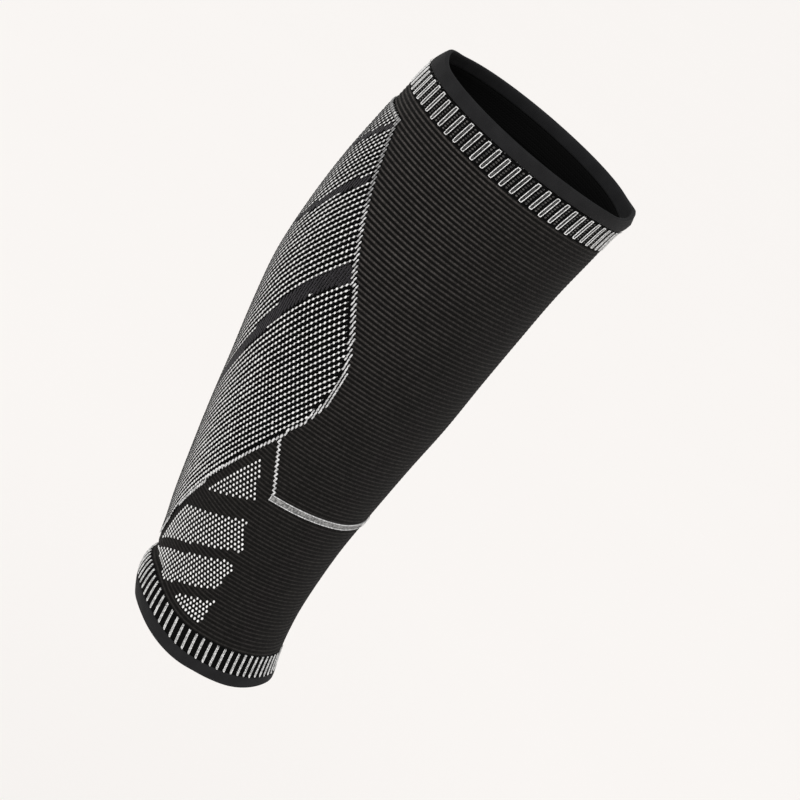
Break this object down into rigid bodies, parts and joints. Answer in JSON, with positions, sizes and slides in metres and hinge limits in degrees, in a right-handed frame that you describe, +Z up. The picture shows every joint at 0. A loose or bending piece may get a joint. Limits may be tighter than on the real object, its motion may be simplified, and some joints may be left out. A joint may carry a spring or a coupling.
{
  "type": "calf compression sleeve",
  "caption": "Knitted calf compression sleeve in its worn shape, with smooth edge bands, striped cuffs and a dotted leaf-shaped panel over the calf.",
  "frame": {"origin": "on the leg's axis, halfway along the leg passage", "axes": "+Z up the leg to the knee end, +X to the shin, -X to the calf; the sleeve is alike on its -Y and +Y sides"},
  "size_m": [0.136, 0.118, 0.325],
  "materials": {
    "edge_knit": "fine smooth black elastic knit, slight sheen",
    "ribbed_knit": "matte black knit with fine raised ribs round the leg",
    "dotted_knit": "black knit with small raised near-white stitches",
    "striped_knit": "black knit with raised light grey stripes"
  },
  "bodies": {
    "root": {"knee_edge_band": "edge_knit", "knee_striped_cuff": "striped_knit", "leg_tube": "ribbed_knit", "calf_panel": "dotted_knit", "ankle_striped_cuff": "striped_knit", "ankle_edge_band": "edge_knit"}
  },
  "joints": []
}
